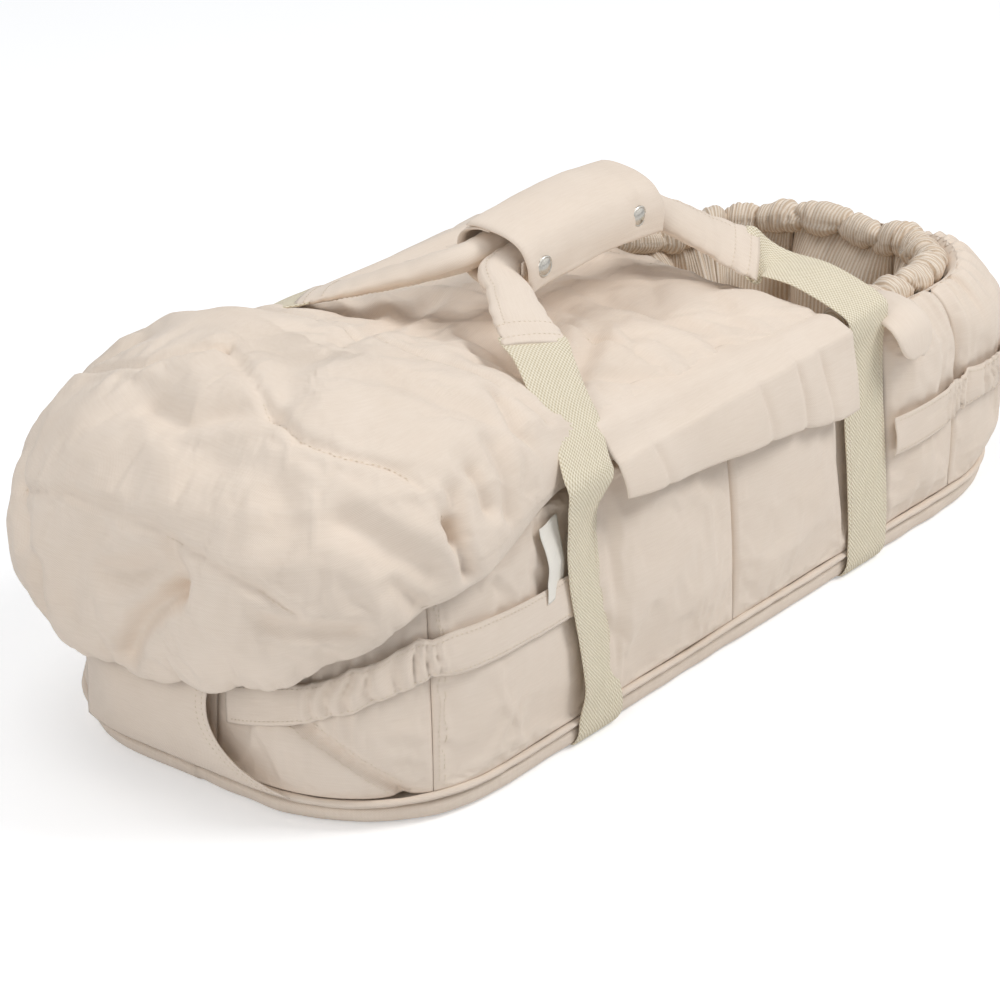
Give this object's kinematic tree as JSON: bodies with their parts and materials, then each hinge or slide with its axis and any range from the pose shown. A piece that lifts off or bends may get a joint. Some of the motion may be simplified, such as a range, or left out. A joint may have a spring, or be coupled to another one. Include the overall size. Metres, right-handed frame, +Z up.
{
  "type": "carrycot",
  "caption": "Soft quilted cotton carrycot with a puffed foot cover, a gathered head opening and two webbing handles held by a snap-fastened grip wrap.",
  "frame": {"origin": "middle of the base on the floor", "axes": "+X to the head end, +Y to the far side, +Z up"},
  "size_m": [0.835, 0.3776, 0.305],
  "materials": {
    "canvas": "washed cotton canvas, oatmeal",
    "ribbed_lining": "fine ribbed cotton jersey in cream and sand stripes",
    "webbing": "coarse woven cotton webbing",
    "snap_metal": "nickel-plated press studs",
    "board": "stiff fibre board",
    "label_satin": "blank white satin label"
  },
  "bodies": {
    "cot": {"base_panel": "canvas", "base_piping": "canvas", "cover": "canvas", "foot_pocket": "canvas", "wall_head_end": "canvas", "wall_foot_end": "canvas", "wall_foot_side_near": "canvas", "wall_middle_foot_side_near": "canvas", "wall_middle_head_side_near": "canvas", "wall_head_side_near": "canvas", "wall_head_corner_near": "canvas", "wall_foot_corner_near": "canvas", "wall_foot_side_far": "canvas", "wall_middle_foot_side_far": "canvas", "wall_middle_head_side_far": "canvas", "wall_head_side_far": "canvas", "wall_head_corner_far": "canvas", "wall_foot_corner_far": "canvas", "waist_band_foot_near": "canvas", "waist_band_head_near": "canvas", "waist_band_foot_far": "canvas", "waist_band_head_far": "canvas", "mattress": "ribbed_lining", "gathered_rim": "ribbed_lining", "webbing_base_foot": "webbing", "webbing_base_head": "webbing", "webbing_foot_near": "webbing", "webbing_foot_far": "webbing", "webbing_head_near": "webbing", "webbing_head_far": "webbing", "base_board": "board", "care_label": "label_satin"},
    "handle_near": {"grip_near": "canvas", "handle_webbing_foot_near": "webbing", "handle_webbing_head_near": "webbing", "wrap_back": "canvas", "snap_stud_foot": "snap_metal", "snap_stud_head": "snap_metal"},
    "handle_far": {"grip_far": "canvas", "handle_webbing_foot_far": "webbing", "handle_webbing_head_far": "webbing"},
    "wrap_leaf": {"wrap_flap": "canvas", "snap_cap_foot": "snap_metal", "snap_cap_head": "snap_metal"},
    "flap_near": {"cover_flap_near": "canvas"},
    "flap_far": {"cover_flap_far": "canvas"},
    "rim_tab_near": {"tab_near": "canvas"},
    "rim_tab_far": {"tab_far": "canvas"}
  },
  "joints": [
    {"name": "handle_near_swing", "type": "hinge", "parent": "cot", "child": "handle_near", "pos_m": [0, -0.1605, 0.2005], "axis": [1, 0, 0], "range_deg": [0, 160], "deforming": ["wrap_back"]},
    {"name": "handle_far_swing", "type": "hinge", "parent": "cot", "child": "handle_far", "pos_m": [0, 0.1605, 0.2005], "axis": [-1, 0, 0], "range_deg": [0, 160], "deforming": ["wrap_back"]},
    {"name": "wrap_flap_open", "type": "hinge", "parent": "handle_near", "child": "wrap_leaf", "pos_m": [-0.01, -0.00875, 0.305], "axis": [-1, 0, 0], "range_deg": [0, 110]},
    {"name": "cover_flap_near_lift", "type": "hinge", "parent": "cot", "child": "flap_near", "pos_m": [0, -0.1655, 0.1985], "axis": [-1, 0, 0], "range_deg": [0, 140]},
    {"name": "cover_flap_far_lift", "type": "hinge", "parent": "cot", "child": "flap_far", "pos_m": [0, 0.1655, 0.1985], "axis": [1, 0, 0], "range_deg": [0, 140]},
    {"name": "tab_near_lift", "type": "hinge", "parent": "cot", "child": "rim_tab_near", "pos_m": [0.198, -0.131, 0.1905], "axis": [-1, 0, 0], "range_deg": [0, 130]},
    {"name": "tab_far_lift", "type": "hinge", "parent": "cot", "child": "rim_tab_far", "pos_m": [0.198, 0.131, 0.1905], "axis": [1, 0, 0], "range_deg": [0, 130]}
  ]
}
